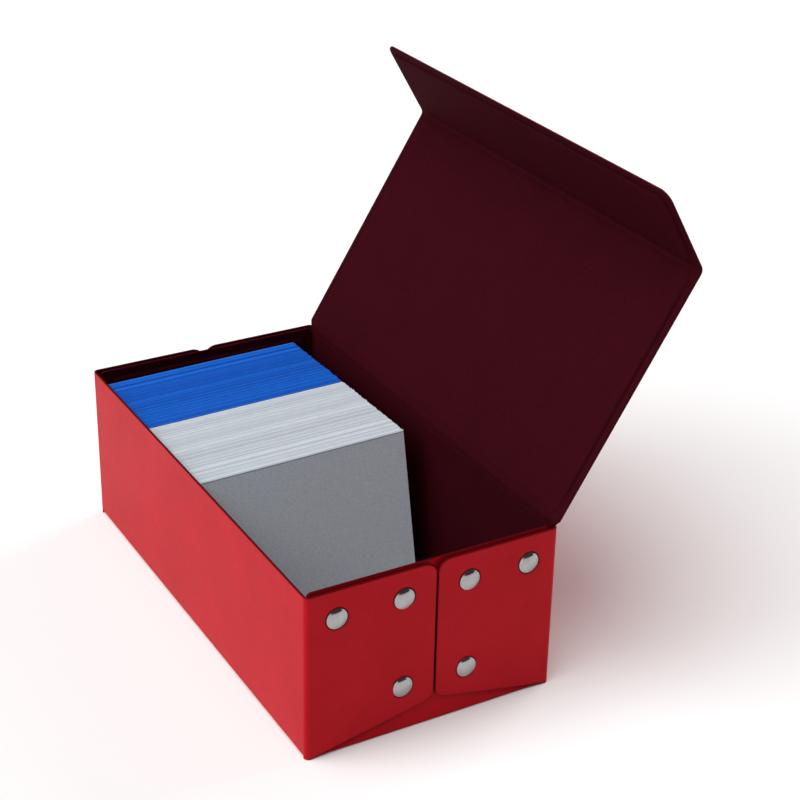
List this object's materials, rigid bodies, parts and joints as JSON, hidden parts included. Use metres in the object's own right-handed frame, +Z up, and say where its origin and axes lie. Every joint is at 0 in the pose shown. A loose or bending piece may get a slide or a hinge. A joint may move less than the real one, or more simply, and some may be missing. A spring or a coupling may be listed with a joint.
{
  "type": "card deck box",
  "caption": "Long leather card deck box standing open, with a folding lid and lip, snapped end flaps and leaning stacks of sleeved cards.",
  "frame": {"origin": "under the middle of the box's floor, on the surface that it stands on", "axes": "+X along the box's length towards the right end, +Y from the front wall towards the hinged back wall, +Z up"},
  "size_m": [0.202, 0.1595, 0.1933],
  "materials": {
    "leather_cover": "smooth satin red synthetic leather",
    "leather_fold": "soft satin fold of cover and lining",
    "stiffening_board": "raw grey-brown fibreboard",
    "lining": "dark burgundy matte lining cloth",
    "snap_metal": "polished nickel plate",
    "magnet_steel": "plated magnet disc",
    "blue_sleeved_card": "card edges in matte sleeves, blue",
    "white_sleeved_card": "card edges in clear matte sleeves, white"
  },
  "bodies": {
    "box": {"bottom_cover": "leather_cover", "bottom_board": "stiffening_board", "bottom_lining": "lining", "front_wall_cover": "leather_cover", "front_wall_board": "stiffening_board", "front_wall_lining": "lining", "back_wall_cover": "leather_cover", "back_wall_board": "stiffening_board", "back_wall_lining": "lining", "left_end_wall_cover": "leather_cover", "left_end_wall_board": "stiffening_board", "left_end_wall_lining": "lining", "left_end_wall_snap_studs": "snap_metal", "left_end_wall_snap_posts": "snap_metal", "front_wall_magnets": "magnet_steel", "bottom_front_fold": "leather_fold", "bottom_back_fold": "leather_fold", "bottom_right_fold": "leather_fold", "bottom_left_fold": "leather_fold", "right_front_corner_fold": "leather_fold", "right_back_corner_fold": "leather_fold", "left_front_corner_fold": "leather_fold", "left_back_corner_fold": "leather_fold", "lid_hinge_fold": "leather_fold"},
    "lid": {"lid_cover": "leather_cover", "lid_board": "stiffening_board", "lid_lining": "lining", "lip_crease_fold": "leather_fold"},
    "lip": {"lip_cover": "leather_cover", "lip_board": "stiffening_board", "lip_lining": "lining", "lip_magnets": "magnet_steel"},
    "right_end_wall": {"right_end_wall_cover": "leather_cover", "right_end_wall_board": "stiffening_board", "right_end_wall_lining": "lining", "right_end_wall_snap_studs": "snap_metal", "right_end_wall_snap_posts": "snap_metal"},
    "blue_cards": {"blue_sleeved_cards": "blue_sleeved_card"},
    "white_cards": {"white_sleeved_cards": "white_sleeved_card"},
    "right_front_flap": {"right_front_flap_cover": "leather_cover", "right_front_flap_board": "stiffening_board", "right_front_flap_lining": "lining", "right_front_flap_snap_caps": "snap_metal", "right_front_flap_snap_sockets": "snap_metal"},
    "right_back_flap": {"right_back_flap_cover": "leather_cover", "right_back_flap_board": "stiffening_board", "right_back_flap_lining": "lining", "right_back_flap_snap_caps": "snap_metal", "right_back_flap_snap_sockets": "snap_metal"},
    "left_front_flap": {"left_front_flap_cover": "leather_cover", "left_front_flap_board": "stiffening_board", "left_front_flap_lining": "lining", "left_front_flap_snap_caps": "snap_metal", "left_front_flap_snap_sockets": "snap_metal"},
    "left_back_flap": {"left_back_flap_cover": "leather_cover", "left_back_flap_board": "stiffening_board", "left_back_flap_lining": "lining", "left_back_flap_snap_caps": "snap_metal", "left_back_flap_snap_sockets": "snap_metal"}
  },
  "joints": [
    {"name": "lid_hinge", "type": "hinge", "parent": "box", "child": "lid", "pos_m": [0, 0.05107, 0.07007], "axis": [-1, 0, 0], "range_deg": [-121.8, 58.2], "deforming": ["lid_hinge_fold"]},
    {"name": "lip_crease", "type": "hinge", "parent": "lid", "child": "lip", "pos_m": [0, 0.107, 0.16028], "axis": [-1, 0, 0], "range_deg": [-28.2, 61.8], "deforming": ["lip_crease_fold"]},
    {"name": "right_front_flap_hinge", "type": "hinge", "parent": "box", "child": "right_front_flap", "pos_m": [0.09918, -0.05118, 0.0347], "axis": [0, 0, -1], "range_deg": [0, 90], "deforming": ["right_front_corner_fold"]},
    {"name": "right_back_flap_hinge", "type": "hinge", "parent": "box", "child": "right_back_flap", "pos_m": [0.09918, 0.05118, 0.0347], "axis": [0, 0, 1], "range_deg": [0, 90], "deforming": ["right_back_corner_fold"]},
    {"name": "left_front_flap_hinge", "type": "hinge", "parent": "box", "child": "left_front_flap", "pos_m": [-0.09918, -0.05118, 0.0347], "axis": [0, 0, 1], "range_deg": [0, 90], "deforming": ["left_front_corner_fold"]},
    {"name": "left_back_flap_hinge", "type": "hinge", "parent": "box", "child": "left_back_flap", "pos_m": [-0.09918, 0.05118, 0.0347], "axis": [0, 0, -1], "range_deg": [0, 90], "deforming": ["left_back_corner_fold"]},
    {"name": "right_end_wall_fold", "type": "hinge", "parent": "box", "child": "right_end_wall", "pos_m": [0.0953, 0, 0.002], "axis": [0, -1, 0], "range_deg": [0, 88], "deforming": ["bottom_right_fold"]},
    {"name": "blue_cards_lift", "type": "slide", "parent": "box", "child": "blue_cards", "axis": [-0.2147, 0, 0.9767], "range_m": [0, 0.07]},
    {"name": "white_cards_lift", "type": "slide", "parent": "box", "child": "white_cards", "axis": [-0.2147, 0, 0.9767], "range_m": [0, 0.07]}
  ]
}
